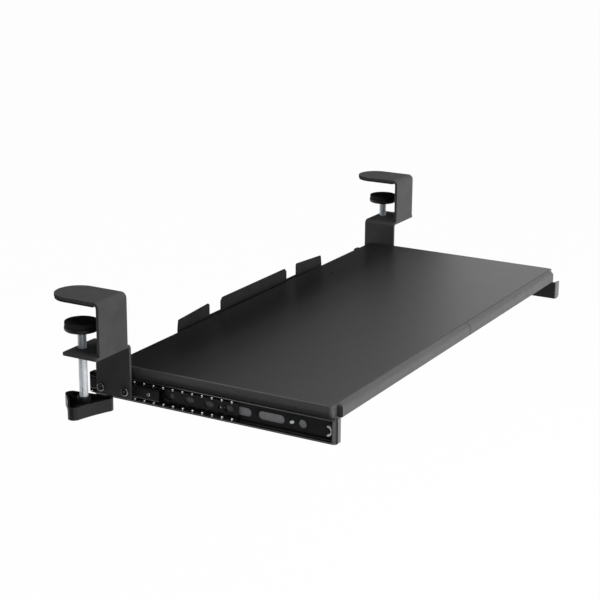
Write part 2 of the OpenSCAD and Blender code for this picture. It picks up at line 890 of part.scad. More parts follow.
// Right hanger's front end, the upright wall bent outwards before the channel's front
module hanger_front_out() {
  wall_x = web_x - hanger_t;
  face = channel_front - slide_fit / 3 - hanger_t;
  outer_r = hanger_t + 1;
  corner_r = 4;
  outer_x = web_x + hanger_cover_w;
  height = hanger_wall_top - hanger_bottom;
  translate([wall_x, face + outer_r - eps, hanger_bottom])
    cube([hanger_t, channel_front + hanger_bend_r + hanger_t - face - outer_r + 2 * eps, height]);
  translate([0, 0, hanger_bottom])
    linear_extrude(height)
      difference() {
        intersection() {
          translate([wall_x + outer_r, face + outer_r]) circle(outer_r);
          translate([wall_x, face]) square(outer_r);
        }
        translate([web_x, face + hanger_t]) square(outer_r);
      }
  along_y(face, face + hanger_t) {
    translate([wall_x + outer_r - eps, hanger_bottom])
      square([outer_x - corner_r - wall_x - outer_r + eps, height]);
    translate([outer_x - corner_r - eps, hanger_bottom + corner_r])
      square([corner_r + eps, height - corner_r]);
    translate([outer_x - corner_r, hanger_bottom + corner_r]) circle(corner_r);
  }
}

module tray_hanger(outwards = false) {
  outer_r = hanger_bend_r + hanger_t;
  color("#3c3c3f")
    difference() {
      union() {
        along_y(channel_front + outer_r, flange_rear) hanger_outline();
        along_x(web_x - hanger_t, web_x)
          slide_side(flange_rear - eps, channel_rear, hanger_bottom, hanger_wall_top, hanger_end_r);
        if (outwards) hanger_front_out();
        else hanger_front_in();
      }
      at_rivets() rod_x(web_x - hanger_t - 1, web_x + 1, rivet_d + hole_fit);
      for (i = [0 : hanger_screw_count - 1])
        translate([hanger_screw_x, hanger_screw_y(i), tray_bottom - hanger_t - 1])
          cylinder(d = hanger_screw_d + hole_fit, h = hanger_t + 2);
    }
}

module hanger_screws() {
  head_h = 2.2;
  head_d = hanger_screw_d * 2;
  under = tray_bottom - hanger_t;
  color("#2a2a2c")
    for (i = [0 : hanger_screw_count - 1])
      translate([hanger_screw_x, hanger_screw_y(i), under])
        difference() {
          union() {
            cylinder(d = hanger_screw_d, h = hanger_t + hanger_screw_len);
            rotate([0, 90, 0]) button_head(head_d, head_h);
          }
          for (a = [0, 90])
            rotate(a)
              translate([-head_d / 4, -0.5, -head_h - 1])
                cube([head_d / 2, 1, head_h * 0.6 + 1]);
        }
}

tray_board();
front_trim_left();
front_trim_right();
rear_stop();
rear_stop_screws();
mirrored() clamp_hook();  // left_clamp_hook
mirrored() jaw_pad();  // left_jaw_pad
mirrored() bracket();  // left_bracket
mirrored() slide_bolts();  // left_slide_bolts
mirrored() slide_nuts();  // left_slide_nuts
mirrored() slide_inner();  // left_slide_inner
mirrored() inner_rivet();  // left_inner_rivet
mirrored() pressure_foot();  // left_pressure_foot
mirrored() foot_pad();  // left_foot_pad
mirrored() clamp_screw();  // left_clamp_screw
mirrored() screw_knob();  // left_screw_knob
mirrored() slide_channel();  // left_slide_channel
mirrored() slide_bumper();  // left_slide_bumper
mirrored() channel_rivets();  // left_channel_rivets
mirrored() ball_cage();  // left_ball_cage
mirrored() balls();  // left_balls
mirrored() tray_hanger();  // left_tray_hanger
mirrored() hanger_screws();  // left_hanger_screws
clamp_hook();  // right_clamp_hook
jaw_pad();  // right_jaw_pad
bracket();  // right_bracket
slide_bolts();  // right_slide_bolts
slide_nuts();  // right_slide_nuts
slide_inner();  // right_slide_inner
inner_rivet();  // right_inner_rivet
pressure_foot();  // right_pressure_foot
foot_pad();  // right_foot_pad
clamp_screw();  // right_clamp_screw
screw_knob();  // right_screw_knob
slide_channel(notch = channel_notch);  // right_slide_channel
slide_bumper();  // right_slide_bumper
channel_rivets();  // right_channel_rivets
ball_cage();  // right_ball_cage
balls();  // right_balls
tray_hanger(outwards = true);  // right_tray_hanger
hanger_screws();  // right_hanger_screws
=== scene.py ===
"""Looks of the clamp-on keyboard tray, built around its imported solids. Metres, in the solids' own frame."""

import json
import math

import bmesh
import bpy
from mathutils import Matrix, Vector


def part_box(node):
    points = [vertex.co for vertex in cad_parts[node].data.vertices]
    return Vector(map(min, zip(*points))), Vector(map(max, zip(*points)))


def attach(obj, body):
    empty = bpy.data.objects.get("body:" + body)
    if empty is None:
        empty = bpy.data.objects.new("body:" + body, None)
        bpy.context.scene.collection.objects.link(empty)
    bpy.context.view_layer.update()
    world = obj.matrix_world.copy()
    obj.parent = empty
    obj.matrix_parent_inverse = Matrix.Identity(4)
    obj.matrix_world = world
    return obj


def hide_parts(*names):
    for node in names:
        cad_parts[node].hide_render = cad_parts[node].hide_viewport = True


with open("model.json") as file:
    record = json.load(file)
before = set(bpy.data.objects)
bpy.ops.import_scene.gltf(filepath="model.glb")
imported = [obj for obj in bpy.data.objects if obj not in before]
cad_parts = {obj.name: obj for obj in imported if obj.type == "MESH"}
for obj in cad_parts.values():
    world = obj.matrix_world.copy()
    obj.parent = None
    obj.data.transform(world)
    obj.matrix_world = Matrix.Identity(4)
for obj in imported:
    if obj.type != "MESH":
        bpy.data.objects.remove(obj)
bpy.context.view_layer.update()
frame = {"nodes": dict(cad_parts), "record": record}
nodes = frame["nodes"]
body_of = {n: b for b, ns in frame["record"]["behaviour"]["bodies"].items() for n in ns}
slot_of = {s["node"]: s["material_slot"] for s in frame["record"]["subparts"]}

MM = 0.001
SIDES = ("left", "right")
EASED_EDGE = "eased_edge"  # face attribute of the eased pieces: 1 on an eased edge, 0 elsewhere

# The hangers carry the channels on their outer face, at SEAT_X from the middle, from SEAT_Y to the rear, and SEAT_HALF
# up and down from SEAT_Z. Painted shade darkens that bare face from the ball cage's front end on.
# GROOVE is inwards from SEAT_X, in the left hanger's front strip, and is drawn dark with painted shade.
channel_low, channel_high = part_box("left_slide_channel")
SEAT_X = abs(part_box("left_tray_hanger")[0].x)
SEAT_Y = channel_low.y + 5 * MM
SEAT_Z = (channel_low.z + channel_high.z) / 2
SEAT_HALF = (channel_high.z - channel_low.z) / 2 - 1 * MM
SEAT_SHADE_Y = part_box("left_ball_cage")[0].y
GROOVE = (1.6 * MM, 5.6 * MM)


# Materials

def fresh_tree(owner):
    """The emptied node tree of a material or world."""
    owner.use_nodes = True
    owner.node_tree.nodes.clear()
    return owner.node_tree


def grey(v):
    """A grey with a trace of blue, as on black coats."""
    return (v, v, v * 1.03)


class Surface:
    """A Principled material with procedural colour, roughness and relief."""

    def __init__(self, name, metallic=0.0, specular=0.5):
        self.material = bpy.data.materials.new(name)
        self.tree = fresh_tree(self.material)
        out = self.add("ShaderNodeOutputMaterial")
        self.shader = self.add("ShaderNodeBsdfPrincipled", {"Metallic": metallic, "Specular IOR Level": specular})
        self.link(self.shader.outputs["BSDF"], out.inputs["Surface"])
        self.coords = self.add("ShaderNodeTexCoord").outputs["Object"]

    def add(self, kind, values=None):
        node = self.tree.nodes.new(kind)
        for name, value in (values or {}).items():
            node.inputs[name].default_value = value
        return node

    def link(self, a, b):
        self.tree.links.new(a, b)

    def put(self, value, target):
        """Links an output to target, or sets a plain number or colour there."""
        if isinstance(value, (int, float)):
            target.default_value = value
        elif isinstance(value, tuple):
            target.default_value = (*value, 1.0)
        else:
            self.link(value, target)

    def split(self, vector):
        """The outputs X, Y and Z of a vector."""
        node = self.add("ShaderNodeSeparateXYZ")
        self.link(vector, node.inputs["Vector"])
        return node.outputs

    def stretched(self, scale):
        mapping = self.add("ShaderNodeMapping", {"Scale": scale})
        self.link(self.coords, mapping.inputs["Vector"])
        return mapping.outputs["Vector"]

    def noise(self, scale, detail=3.0, rough=0.55, stretch=None, distortion=0.0):
        values = {"Scale": scale, "Detail": detail, "Roughness": rough, "Distortion": distortion}
        n = self.add("ShaderNodeTexNoise", values)
        self.link(self.stretched(stretch) if stretch else self.coords, n.inputs["Vector"])
        return n.outputs["Fac"]

    def ramp(self, value, low, high, start=0.3, end=0.7):
        """The colour low up to start, high from end on, and a blend between."""
        r = self.add("ShaderNodeValToRGB")
        for e, place, colour in zip(r.color_ramp.elements, (start, end), (low, high)):
            e.position = place
            e.color = (*colour, 1.0)
        self.link(value, r.inputs["Fac"])
        return r.outputs["Color"]

    def greys(self, value, low, high, end=0.7):
        return self.ramp(value, grey(low), grey(high), end=end)

    def spots(self, value, start, end, full=1.0):
        """0 where value is below start, full above end."""
        return self.ramp(value, (0, 0, 0), (full, full, full), start, end)

    def span(self, value, low, high, to_low, to_high):
        m = self.add("ShaderNodeMapRange", {"From Min": low, "From Max": high, "To Min": to_low, "To Max": to_high})
        self.link(value, m.inputs["Value"])
        return m.outputs["Result"]

    def math(self, op, a, b=0.0):
        m = self.add("ShaderNodeMath")
        m.operation = op
        self.put(a, m.inputs[0])
        self.put(b, m.inputs[1])
        return m.outputs["Value"]

    def between(self, value, low, high):
        return self.math("MULTIPLY", self.math("GREATER_THAN", value, low), self.math("LESS_THAN", value, high))

    def mix(self, share, a, b):
        """The colour a, with share of b."""
        m = self.add("ShaderNodeMix")
        m.data_type = "RGBA"
        for place, value in ((0, share), (6, a), (7, b)):
            self.put(value, m.inputs[place])
        return m.outputs[2]

    def colour(self, c):
        self.link(c, self.shader.inputs["Base Color"])

    def roughness(self, scale, detail, low, high):
        """Roughness that wanders from low to high."""
        self.link(self.span(self.noise(scale, detail), 0.3, 0.7, low, high), self.shader.inputs["Roughness"])

    def relief(self, height, strength, depth):
        b = self.add("ShaderNodeBump", {"Strength": strength, "Distance": depth})
        self.link(height, b.inputs["Height"])
        self.link(b.outputs["Normal"], self.shader.inputs["Normal"])

    def edge_wear_and_highlight(self, amount):
        """Up to amount, unevenly, on the eased edges: partly a worn finish, partly a painted highlight where the edges
        catch the light.
        """
        edge = self.add("ShaderNodeAttribute")
        edge.attribute_name = EASED_EDGE
        patchy_amount = self.span(self.noise(260), 0.35, 0.65, 0.3 * amount, amount)
        return self.math("MULTIPLY", edge.outputs["Fac"], patchy_amount)


def laminate():
    """Black, finely speckled board, with a lighter band on its upright sides."""
    s = Surface("tray_laminate")
    fine = s.noise(1400, 2.0)
    speck = s.math("MULTIPLY", s.spots(fine, 0.42, 0.62), 0.25)
    top = s.mix(speck, s.greys(s.noise(9), 0.0070, 0.0086), grey(0.013))
    facing = s.split(s.add("ShaderNodeNewGeometry").outputs["Normal"])
    upright = s.span(s.math("ABSOLUTE", facing["Z"]), 0.55, 0.8, 1.0, 0.0)
    band = s.greys(s.noise(300), 0.056, 0.070)
    s.colour(s.mix(upright, top, band))
    s.roughness(60, 4.0, 0.34, 0.36)
    s.relief(fine, 0.12, 0.1 * MM)
    return s.material


def edge_strip():
    """Extruded nosing, streaked along its length."""
    s = Surface("edge_strip")
    s.colour(s.greys(s.noise(300, stretch=(0.05, 1, 1)), 0.048, 0.058))
    s.roughness(80, 3.0, 0.45, 0.53)
    s.relief(s.noise(1600, 2.0), 0.08, 0.1 * MM)
    return s.material


def powder(name, low, high, rough, bump, specular):
    """Powder coat with its orange peel and pits, lighter on the eased edges, partly worn and partly painted highlight.
    """
    s = Surface(name, specular=specular)
    pits = s.math("MULTIPLY", s.spots(s.noise(4200, 1.0), 0.6, 0.72), 0.35)
    base = s.mix(pits, s.greys(s.noise(40, 4.0), low, high), grey(high * 1.5))
    s.colour(s.mix(s.edge_wear_and_highlight(0.25), base, grey(high * 2.6)))
    s.roughness(120, 3.0, *rough)
    s.relief(s.noise(1500, 2.5, rough=0.6), bump, 0.15 * MM)
    return s.material


def seated_sheet():
    """Powder coat: grey on the front strip, and dark with painted shade in the slide's shade behind it, in the groove
    and on the right hanger's inner side; bare on the face that carries the slide, with painted shade from the ball
    cage on.
    """
    s = Surface("hanger_steel", specular=0.25)
    place = s.split(s.coords)
    out = s.math("ABSOLUTE", place["X"])
    level = s.math("ABSOLUTE", s.math("SUBTRACT", place["Z"], SEAT_Z))
    # Painted shade: the bare face is drawn darker from the ball cage's front end to the rear, where the cage and the
    # inner member shade it.
    seat_shade = s.span(place["Y"], SEAT_SHADE_Y - 2 * MM, SEAT_SHADE_Y + 4 * MM, 0.0, 1.0)
    behind_strip = s.span(place["Y"], SEAT_Y, SEAT_Y + 1 * MM, 0.0, 1.0)
    at_seat = s.span(out, SEAT_X - 0.2 * MM, SEAT_X - 0.05 * MM, 0.0, 1.0)
    within = s.span(level, SEAT_HALF - 0.2 * MM, SEAT_HALF, 1.0, 0.0)
    # Painted shade: the coat is drawn dark behind the front strip, on the right hanger's inner side and in the groove
    # along the left strip's bend; only the front strip keeps the lit grey.
    right_inside = s.between(place["X"], 0.0, SEAT_X - 1 * MM)
    groove = s.between(out, SEAT_X - GROOVE[1], SEAT_X - GROOVE[0])
    shade = s.math("MAXIMUM", behind_strip, s.math("MAXIMUM", right_inside, groove))
    coat = s.mix(shade, s.greys(s.noise(40, 4.0), 0.095, 0.112), s.greys(s.noise(40, 4.0), 0.012, 0.017))
    bare = s.mix(seat_shade, s.greys(s.noise(180, 4.0), 0.22, 0.27), s.greys(s.noise(90, 4.0), 0.085, 0.125))
    seat = s.math("MULTIPLY", s.math("MULTIPLY", at_seat, behind_strip), within)
    s.colour(s.mix(seat, coat, bare))
    s.roughness(120, 3.0, 0.46, 0.58)
    s.relief(s.noise(1500, 2.5, rough=0.6), 0.18, 0.15 * MM)
    return s.material


def gloss_coat():
    """Glossy black of the slide's channels, drawn along the slide."""
    s = Surface("slide_steel", specular=0.22)
    base = s.greys(s.noise(220, stretch=(1, 0.03, 1)), 0.0105, 0.0145, end=0.75)
    # Lighter eased edges of the lips: partly wear, partly a painted highlight.
    s.colour(s.mix(s.edge_wear_and_highlight(0.15), base, grey(0.05)))
    s.roughness(90, 4.0, 0.16, 0.27)
    s.relief(s.noise(600, 2.0), 0.06, 0.12 * MM)
    return s.material


def dark_sheet():
    """Blackened sheet of the ball cages, lighter on its eased edges, partly worn and partly painted highlight."""
    s = Surface("cage_steel", metallic=0.35, specular=0.4)
    base = s.greys(s.noise(260, stretch=(1, 0.04, 1)), 0.007, 0.013, end=0.75)
    s.colour(s.mix(s.edge_wear_and_highlight(0.3), base, grey(0.12)))
    s.roughness(140, 3.0, 0.26, 0.38)
    s.relief(s.noise(900, 2.0), 0.06, 0.1 * MM)
    return s.material


def zinc():
    """Zinc plating with duller flecks."""
    s = Surface("zinc_steel", metallic=0.6)
    base = s.ramp(s.noise(160, 4.0), (0.78, 0.82, 0.86), (0.86, 0.90, 0.93))
    s.colour(s.mix(s.spots(s.noise(900, 2.0), 0.55, 0.7, full=0.35), base, (0.66, 0.70, 0.74)))
    s.roughness(420, 3.0, 0.34, 0.44)
    s.relief(s.noise(1800, 2.0), 0.05, 0.08 * MM)
    return s.material


def polished():
    s = Surface("polished_rivet", metallic=1.0)
    s.colour(s.ramp(s.noise(160, 4.0), (0.74, 0.77, 0.80), (0.84, 0.87, 0.90)))
    s.roughness(420, 3.0, 0.07, 0.12)
    s.relief(s.noise(1800, 2.0), 0.03, 0.08 * MM)
    return s.material


def black_oxide():
    s = Surface("black_bolt", metallic=1.0)
    # Lighter eased edges of the heads: partly wear, partly a painted highlight.
    s.colour(s.mix(s.edge_wear_and_highlight(0.3), s.greys(s.noise(220, 4.0), 0.22, 0.28), grey(0.3)))
    s.roughness(500, 3.0, 0.16, 0.26)
    s.relief(s.noise(1500, 2.0), 0.03, 0.1 * MM)
    return s.material


def ball_steel():
    s = Surface("ball_steel", metallic=0.8)
    s.colour(s.ramp(s.noise(700, 2.0), (0.92, 0.93, 0.94), (0.97, 0.97, 0.98)))
    s.roughness(900, 2.0, 0.14, 0.20)
    return s.material


def moulding(name, low, high, rough, grain, specular):
    """Moulded plastic with flow marks and a fine grain."""
    s = Surface(name, specular=specular)
    s.colour(s.greys(s.noise(55, 4.0, distortion=0.6), low, high))
    s.roughness(200, 3.0, *rough)
    s.relief(s.noise(grain, 2.5), 0.12, 0.1 * MM)
    return s.material


def rubber():
    s = Surface("pad_rubber", specular=0.25)
    s.colour(s.greys(s.noise(120, 4.0), 0.010, 0.016))
    s.roughness(300, 3.0, 0.72, 0.88)
    s.relief(s.noise(1400, 3.0), 0.25, 0.15 * MM)
    return s.material


MATERIALS = {
    "tray_laminate": laminate(),
    "edge_strip": edge_strip(),
    "clamp_steel": powder("clamp_steel", 0.042, 0.052, rough=(0.52, 0.64), bump=0.22, specular=0.15),
    "hanger_steel": seated_sheet(),
    "slide_steel": gloss_coat(),
    "cage_steel": dark_sheet(),
    "ball_steel": ball_steel(),
    "zinc_steel": zinc(),
    "black_bolt": black_oxide(),
    "foot_steel": powder("foot_steel", 0.007, 0.011, rough=(0.40, 0.52), bump=0.15, specular=0.4),
    "pad_rubber": rubber(),
    "knob_plastic": moulding("knob_plastic", 0.006, 0.009, rough=(0.34, 0.44), grain=900, specular=0.35),
    "bumper_plastic": moulding("bumper_plastic", 0.58, 0.68, rough=(0.42, 0.55), grain=500, specular=0.45),
}
RIVET_FACE = polished()


# Pieces

MERGE = 2e-6            # a node's vertices closer than this are one
FLAT = 0.4              # degrees: faces that meet at less are one flat face
EASED_FROM = 32         # degrees: edges that meet at more are eased, or on the knobs' hubs sharp in the shading
HARD = 60               # degrees: edges of the board, nosing and balls that meet at more are sharp in the shading
FLAT_WEIGHT = 80        # how strongly large faces pull the shading flat
FINE_EASING = 0.3 * MM  # easings narrower than this have two steps, others three
EASED_FACE = 0.8        # of the easing's width: narrower faces belong to an eased edge


def dress(obj, node):
    """Gives a piece its node's body and the material of the node's slot, and hides the node."""
    obj.data.materials.clear()
    obj.data.materials.append(MATERIALS[slot_of[node]])
    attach(obj, body_of[node])
    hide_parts(node)
    return obj


def new_object(name, bm):
    mesh = bpy.data.meshes.new(name)
    bm.to_mesh(mesh)
    bm.free()
    obj = bpy.data.objects.new(name, mesh)
    bpy.context.scene.collection.objects.link(obj)
    return obj


def node_mesh(node):
    bm = bmesh.new()
    bm.from_mesh(nodes[node].data)
    bmesh.ops.remove_doubles(bm, verts=bm.verts, dist=MERGE)
    return bm


def smooth(obj, degrees):
    """Smooth shading, with edges of more than degrees left sharp."""
    for p in obj.data.polygons:
        p.use_smooth = True
    obj.data.set_sharp_from_angle(angle=math.radians(degrees))


def even_normals(obj):
    """Smooth shading in which the large faces stay flat."""
    for p in obj.data.polygons:
        p.use_smooth = True
    m = obj.modifiers.new("Normals", "WEIGHTED_NORMAL")
    m.mode = "FACE_AREA"
    m.weight = FLAT_WEIGHT
    m.keep_sharp = True


def settle(obj):
    """Applies the modifiers to the piece's own mesh."""
    graph = bpy.context.evaluated_depsgraph_get()
    mesh = bpy.data.meshes.new_from_object(obj.evaluated_get(graph))
    obj.modifiers.clear()
    obj.data = mesh


def clean_copy(node):
    """The node's shape as a new piece, with its flat faces whole."""
    bm = node_mesh(node)
    bmesh.ops.dissolve_limit(bm, angle_limit=math.radians(FLAT), verts=bm.verts, edges=bm.edges)
    bmesh.ops.recalc_face_normals(bm, faces=bm.faces)
    return new_object(node + "_shape", bm)


def mark_eased_edges(mesh, width):
    """Notes on each face whether it is part of an eased edge."""
    marks = mesh.attributes.new(EASED_EDGE, "FLOAT", "FACE")
    for p in mesh.polygons:
        corners = [mesh.vertices[i].co for i in p.vertices]
        around = sum((a - b).length for a, b in zip(corners, corners[1:] + corners[:1]))
        marks.data[p.index].value = float(2 * p.area < EASED_FACE * width * around)


def eased(node, width, reshape=None):
    """The node with its sharp edges rounded off by width."""
    obj = clean_copy(node)
    if reshape:
        reshape(obj)
    bevel = obj.modifiers.new("Edges", "BEVEL")
    bevel.width = width
    bevel.segments = 2 if width < FINE_EASING else 3
    bevel.limit_method = "ANGLE"
    bevel.angle_limit = math.radians(EASED_FROM)
    bevel.use_clamp_overlap = True
    even_normals(obj)
    settle(obj)
    mark_eased_edges(obj.data, width)
    return dress(obj, node)


def cut(obj, bm):
    """Takes the shape in bm out of a piece."""
    tool = new_object("cutter", bm)
    m = obj.modifiers.new("Cut", "BOOLEAN")
    m.operation = "DIFFERENCE"
    m.solver = "EXACT"
    m.object = tool
    settle(obj)
    mesh = tool.data
    bpy.data.objects.remove(tool)
    bpy.data.meshes.remove(mesh)


EASING_MM = {
    "clamp_hook": 0.5, "jaw_pad": 0.4, "bracket": 0.45, "pressure_foot": 0.4, "foot_pad": 0.8, "screw_knob": 0.7,
    "slide_channel": 0.16, "slide_inner": 0.16, "slide_bumper": 0.5, "ball_cage": 0.1, "tray_hanger": 0.3,
    "slide_bolts": 0.2, "slide_nuts": 0.2, "hanger_screws": 0.15,
}
STOP_EASING, RIVET_EASING = 0.4 * MM, 0.12 * MM
STRIP_LIFT = 1.6 * MM
STRIP_AHEAD, STRIP_TOP = 0.5 * MM, 0.2 * MM     # vertices this far before the board and this near the top are lifted
CUTTER_DEPTH, CUTTER_OUT = 1.9 * MM, 0.05 * MM  # centred CUTTER_OUT before the strip's face, so it cuts 0.9 mm deep
GROOVE_ENDS = 3 * MM                            # left whole, half of it at each end of the strip


def shape_front_strip(obj):
    """Lifts the left hanger's front strip to the board's edge and presses a groove along its bend."""
    low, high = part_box("left_tray_hanger")
    board_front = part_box("tray_board")[0].y
    for v in obj.data.vertices:
        if v.co.y < board_front - STRIP_AHEAD and v.co.z > high.z - STRIP_TOP:
            v.co.z += STRIP_LIFT
    size = (GROOVE[1] - GROOVE[0], CUTTER_DEPTH, high.z - low.z - GROOVE_ENDS)
    place = (-SEAT_X + (GROOVE[0] + GROOVE[1]) / 2, low.y - CUTTER_OUT, (low.z + high.z) / 2)
    bm = bmesh.new()
    bmesh.ops.create_cube(bm, size=1.0, matrix=Matrix.Translation(place) @ Matrix.Diagonal((*size, 1)))
    cut(obj, bm)


RESHAPED = {"left_tray_hanger": shape_front_strip}
for side in SIDES:
    for part, width in EASING_MM.items():
        node = f"{side}_{part}"
        eased(node, width * MM, RESHAPED.get(node))
eased("rear_stop", STOP_EASING)
eased("rear_stop_screws", RIVET_EASING)
for side in SIDES:
    eased(f"{side}_channel_rivets", RIVET_EASING)
    rivet = eased(f"{side}_inner_rivet", RIVET_EASING)
    rivet.data.materials[0] = RIVET_FACE


# Hubs of the knobs

HUB_R, HUB_TAPER, HUB_EASE = 8.2 * MM, 0.3 * MM, 0.8 * MM
HUB_DOWN, HUB_UP = 1.2 * MM, 3.8 * MM       # from the knob's rim
BORE_GAP, BORE_EASE = 0.05 * MM, 0.3 * MM
HUB_STEPS = 48


def make_collar(side):
    """The hub of the knob, which stands above the rim round the screw."""
    knob = f"{side}_screw_knob"
    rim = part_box(knob)[1].z
    low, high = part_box(f"{side}_clamp_screw")
    middle = (low + high) / 2
    bore = (high.x - low.x) / 2 + BORE_GAP
    bottom, top, upper_r = rim - HUB_DOWN, rim + HUB_UP, HUB_R - HUB_TAPER
    section = [(bore, bottom), (HUB_R, bottom), (upper_r, top - HUB_EASE)]
    section += [(upper_r - HUB_EASE * (1 - math.cos(a)), top - HUB_EASE * (1 - math.sin(a)))
                for a in (math.pi * i / 8 for i in range(1, 5))]
    section += [(bore + BORE_EASE, top), (bore, top - BORE_EASE)]
    bm = bmesh.new()
    rings = []
    for k in range(HUB_STEPS):
        angle = 2 * math.pi * k / HUB_STEPS
        x, y = math.cos(angle), math.sin(angle)
        rings.append([bm.verts.new((middle.x + r * x, middle.y + r * y, z)) for r, z in section])
    for k, here in enumerate(rings):
        there = rings[(k + 1) % HUB_STEPS]
        for i in range(len(section)):
            j = (i + 1) % len(section)
            bm.faces.new((here[i], there[i], there[j], here[j]))
    bmesh.ops.recalc_face_normals(bm, faces=bm.faces)
    collar = new_object(f"{side}_knob_collar", bm)
    smooth(collar, EASED_FROM)
    collar.data.materials.append(MATERIALS[slot_of[knob]])
    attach(collar, body_of[knob])


for side in SIDES:
    make_collar(side)


# Bearing balls

def parts_of(node):
    """Middle and size of each separate solid in a node."""
    bm = node_mesh(node)
    loose, found = set(bm.verts), []
    while loose:
        stack = [loose.pop()]
        island = []
        while stack:
            v = stack.pop()
            island.append(v.co.copy())
            for e in v.link_edges:
                o = e.other_vert(v)
                if o in loose:
                    loose.remove(o)
                    stack.append(o)
        low = Vector(min(c[i] for c in island) for i in range(3))
        high = Vector(max(c[i] for c in island) for i in range(3))
        found.append(((low + high) / 2, high - low))
    bm.free()
    return sorted(found, key=lambda p: (round(p[0].z, 4), p[0].y, p[0].x))


for side in SIDES:
    node = f"{side}_balls"
    bm = bmesh.new()
    for middle, size in parts_of(node):
        bmesh.ops.create_uvsphere(bm, u_segments=24, v_segments=14, radius=max(size) / 2,
                                  matrix=Matrix.Translation(middle))
    balls = new_object(node + "_shape", bm)
    smooth(balls, HARD)
    dress(balls, node)


# Threads of the clamp screws

PITCH = 1.5 * MM
THREAD_DEPTH = 0.5 * MM
THREAD_STEPS = 28
THREAD_SHARP = 40                           # degrees: edges that meet at more are sharp in the shading
THREAD_MERGE, THREAD_SLIVER = 1e-6, 1e-7    # vertices closer are one, and edges shorter are left out
# One turn's section: share of the pitch, and share of the depth below the crest
THREAD = ((0.0, 0.0), (0.14, 0.0), (0.44, 1.0), (0.58, 1.0), (0.88, 0.0))


def threaded_rod(name, middle, radius, low, high):
    """A right-hand thread from low to high, with a chamfered start at both ends."""
    bm = bmesh.new()
    turns = int((high - low) / PITCH) + 2
    start = low - PITCH
    rows = []
    for t in range(turns * THREAD_STEPS + 1):
        angle = 2 * math.pi * t / THREAD_STEPS
        row = []
        for share, depth in THREAD:
            z = start + PITCH * (t / THREAD_STEPS + share)
            z = min(max(z, low), high)
            ease = min(1.0, (z - low) / PITCH, (high - z) / PITCH)
            r = radius - THREAD_DEPTH * max(depth, 1.0 - max(ease, 0.0))
            row.append(bm.verts.new((middle.x + r * math.cos(angle), middle.y + r * math.sin(angle), z)))
        rows.append(row)
    for t in range(len(rows) - 1):
        here, there = rows[t], rows[t + 1]
        for k in range(len(THREAD) - 1):
            bm.faces.new((here[k], there[k], there[k + 1], here[k + 1]))
        above = t + THREAD_STEPS
        if above < len(rows) - 1:
            bm.faces.new((here[-1], there[-1], rows[above + 1][0], rows[above][0]))
    bmesh.ops.remove_doubles(bm, verts=bm.verts, dist=THREAD_MERGE)
    bmesh.ops.dissolve_degenerate(bm, edges=bm.edges, dist=THREAD_SLIVER)
    bmesh.ops.holes_fill(bm, edges=[e for e in bm.edges if e.is_boundary], sides=0)
    bmesh.ops.recalc_face_normals(bm, faces=bm.faces)
    return new_object(name, bm)


for side in SIDES:
    node = f"{side}_clamp_screw"
    low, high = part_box(node)
    rod = threaded_rod(node + "_shape", (low + high) / 2, (high.x - low.x) / 2, low.z, high.z)
    smooth(rod, THREAD_SHARP)
    dress(rod, node)


# Tray

board_low, board_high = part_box("tray_board")
TOP, BOTTOM = board_high.z, board_low.z
FRONT, REAR = board_low.y, board_high.y
HALF = board_high.x
STRIP_ENDS = (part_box("front_trim_left")[0].x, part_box("front_trim_right")[1].x)
FRONT_RX, FRONT_RY, REAR_R = 3 * MM, 7 * MM, 4 * MM                 # corners in plan
TOP_EASE, BOTTOM_EASE = 1.5 * MM, 0.3 * MM
SCREW_SEAT, SCREW_GAP, SEAT_PROUD = 2.1 * MM, 0.05 * MM, 0.01 * MM  # countersink: height, play, height above the board
STRIP_EASE, JOINT_EASE = 0.12 * MM, 0.45 * MM
ON_BOARD, ON_PLANE = 1e-6, 2e-5     # vertices of the board, or of a nosing, closer to a plane than this are on it


def quarter(cx, cy, rx, ry, start, steps):
    """A quarter turn of an ellipse, from start degrees."""
    turns = [math.radians(start + 90 * i / steps) for i in range(steps + 1)]
    return [(cx + rx * math.cos(a), cy + ry * math.sin(a)) for a in turns]


def keep_hard_edges(bm):
    for e in bm.edges:
        e.smooth = e.calc_face_angle(0) < math.radians(HARD)


def make_board():
    """The board: rounded in plan, with eased edges and seats for the two screws."""
    outline = [(x, FRONT) for x in STRIP_ENDS]
    outline += quarter(HALF - FRONT_RX, FRONT + FRONT_RY, FRONT_RX, FRONT_RY, -90, 20)
    outline += quarter(HALF - REAR_R, REAR - REAR_R, REAR_R, REAR_R, 0, 10)
    outline += quarter(-HALF + REAR_R, REAR - REAR_R, REAR_R, REAR_R, 90, 10)
    outline += quarter(-HALF + FRONT_RX, FRONT + FRONT_RY, FRONT_RX, FRONT_RY, 180, 20)
    bm = bmesh.new()
    face = bm.faces.new([bm.verts.new((x, y, BOTTOM)) for x, y in outline])
    made = bmesh.ops.extrude_face_region(bm, geom=[face])
    raised = [v for v in made["geom"] if isinstance(v, bmesh.types.BMVert)]
    bmesh.ops.translate(bm, verts=raised, vec=(0, 0, TOP - BOTTOM))
    bmesh.ops.recalc_face_normals(bm, faces=bm.faces)

    def behind_strips(e):
        reach = STRIP_ENDS[1] + ON_BOARD
        return all(abs(v.co.y - FRONT) < ON_BOARD and abs(v.co.x) < reach for v in e.verts)

    for z, width, steps in ((TOP, TOP_EASE, 5), (BOTTOM, BOTTOM_EASE, 2)):
        edges = [e for e in bm.edges if all(abs(v.co.z - z) < ON_BOARD for v in e.verts) and not behind_strips(e)]
        bmesh.ops.bevel(bm, geom=edges, offset=width, segments=steps, profile=0.5, affect="EDGES",
                        clamp_overlap=False)
    keep_hard_edges(bm)
    board = new_object("tray_board_shape", bm)
    bm = bmesh.new()
    for middle, size in parts_of("rear_stop_screws"):
        r = size.y / 2 + SCREW_GAP
        place = Matrix.Translation((middle.x, middle.y, TOP - SCREW_SEAT / 2 + SEAT_PROUD))
        bmesh.ops.create_cone(bm, cap_ends=True, segments=48, radius1=r - SCREW_SEAT, radius2=r, depth=SCREW_SEAT,
                              matrix=place)
    cut(board, bm)
    even_normals(board)
    settle(board)
    dress(board, "tray_board")


make_board()


